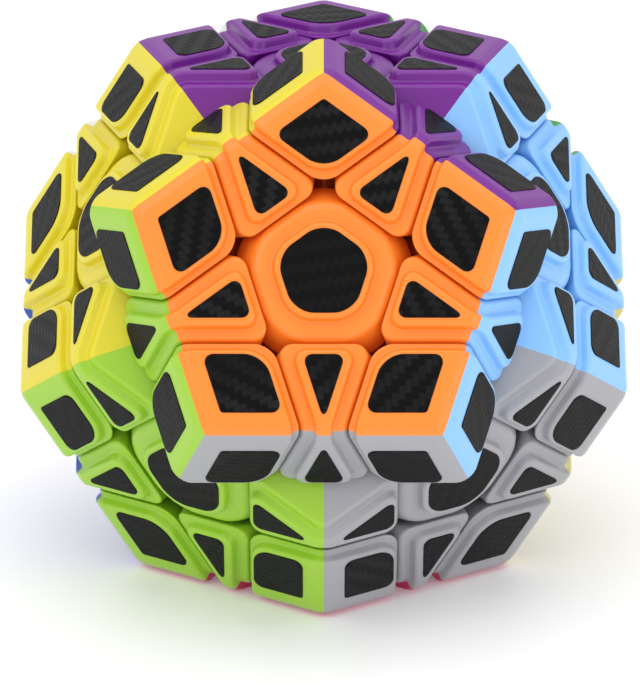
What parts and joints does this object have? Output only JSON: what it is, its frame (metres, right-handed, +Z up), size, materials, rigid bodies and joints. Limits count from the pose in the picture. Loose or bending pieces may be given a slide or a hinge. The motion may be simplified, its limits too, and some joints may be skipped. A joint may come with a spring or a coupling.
{
  "type": "dodecahedron twisty puzzle",
  "caption": "Twelve-sided twisty puzzle with a turning layer on each face, raised pads with dark woven-look stickers, and its front layer standing part-way round.",
  "frame": {"origin": "middle of the face that the puzzle rests on (the pink face), on its pad; the puzzle's own centre is 34 mm above it", "axes": "+Z up through the resting face and the top face; -Y towards the front, whose layer stands turned; +X to the right"},
  "size_m": [0.0786, 0.0805, 0.0728],
  "materials": {
    "purple_plastic": "smooth moulded, soft gloss",
    "orange_plastic": "smooth moulded, soft gloss",
    "sky_plastic": "smooth moulded, soft gloss",
    "green_plastic": "smooth moulded, soft gloss",
    "white_plastic": "smooth moulded, soft gloss",
    "yellow_plastic": "smooth moulded, soft gloss",
    "grey_plastic": "smooth moulded, soft gloss",
    "cream_plastic": "smooth moulded, soft gloss",
    "red_plastic": "smooth moulded, soft gloss",
    "blue_plastic": "smooth moulded, soft gloss",
    "lime_plastic": "smooth moulded, soft gloss",
    "pink_plastic": "smooth moulded, soft gloss",
    "core_plastic": "plain moulded",
    "steel": "bright zinc",
    "sticker_film": "woven-look dark film"
  },
  "bodies": {
    "core_and_fixed_pieces": {"corner_purple_white_yellow": "purple_plastic", "corner_sky_grey_cream": "sky_plastic", "corner_grey_lime_pink": "grey_plastic", "corner_grey_pink_cream": "grey_plastic", "corner_cream_pink_red": "cream_plastic", "edge_purple_sky": "purple_plastic", "edge_purple_white": "purple_plastic", "edge_purple_yellow": "purple_plastic", "edge_sky_grey": "sky_plastic", "edge_sky_cream": "sky_plastic", "edge_white_yellow": "white_plastic", "edge_white_red": "white_plastic", "edge_yellow_lime": "yellow_plastic", "edge_grey_cream": "grey_plastic", "edge_grey_lime": "grey_plastic", "edge_grey_pink": "grey_plastic", "edge_cream_red": "cream_plastic", "edge_cream_pink": "cream_plastic", "edge_red_pink": "red_plastic", "edge_lime_pink": "lime_plastic", "screw_orange": "steel", "spring_orange": "steel", "screw_green": "steel", "spring_green": "steel", "screw_blue": "steel", "spring_blue": "steel", "core_with_fixed_centres": "core_plastic"},
    "orange_layer": {"corner_purple_orange_sky": "purple_plastic", "corner_purple_yellow_orange": "purple_plastic", "corner_orange_yellow_lime": "orange_plastic", "corner_orange_grey_sky": "orange_plastic", "corner_orange_lime_grey": "orange_plastic", "edge_purple_orange": "purple_plastic", "edge_orange_sky": "orange_plastic", "edge_orange_yellow": "orange_plastic", "edge_orange_grey": "orange_plastic", "edge_orange_lime": "orange_plastic", "centre_orange": "orange_plastic"},
    "green_layer": {"corner_purple_sky_green": "purple_plastic", "corner_purple_green_white": "purple_plastic", "corner_sky_cream_green": "sky_plastic", "corner_green_cream_red": "green_plastic", "corner_green_red_white": "green_plastic", "edge_purple_green": "purple_plastic", "edge_sky_green": "sky_plastic", "edge_green_white": "green_plastic", "edge_green_cream": "green_plastic", "edge_green_red": "green_plastic", "centre_green": "green_plastic"},
    "blue_layer": {"corner_white_red_blue": "white_plastic", "corner_white_blue_yellow": "white_plastic", "corner_yellow_blue_lime": "yellow_plastic", "corner_red_pink_blue": "red_plastic", "corner_blue_pink_lime": "blue_plastic", "edge_white_blue": "white_plastic", "edge_yellow_blue": "yellow_plastic", "edge_red_blue": "red_plastic", "edge_blue_lime": "blue_plastic", "edge_blue_pink": "blue_plastic", "centre_blue": "blue_plastic"}
  },
  "joints": [
    {"name": "orange_turn", "type": "hinge", "parent": "core_and_fixed_pieces", "child": "orange_layer", "pos_m": [0, 0, 0.034], "axis": [0, -0.8944, 0.4472], "continuous": true},
    {"name": "green_turn", "type": "hinge", "parent": "core_and_fixed_pieces", "child": "green_layer", "pos_m": [0, 0, 0.034], "axis": [0.5257, 0.7236, 0.4472], "continuous": true},
    {"name": "blue_turn", "type": "hinge", "parent": "core_and_fixed_pieces", "child": "blue_layer", "pos_m": [0, 0, 0.034], "axis": [-0.8507, 0.2764, -0.4472], "continuous": true}
  ]
}
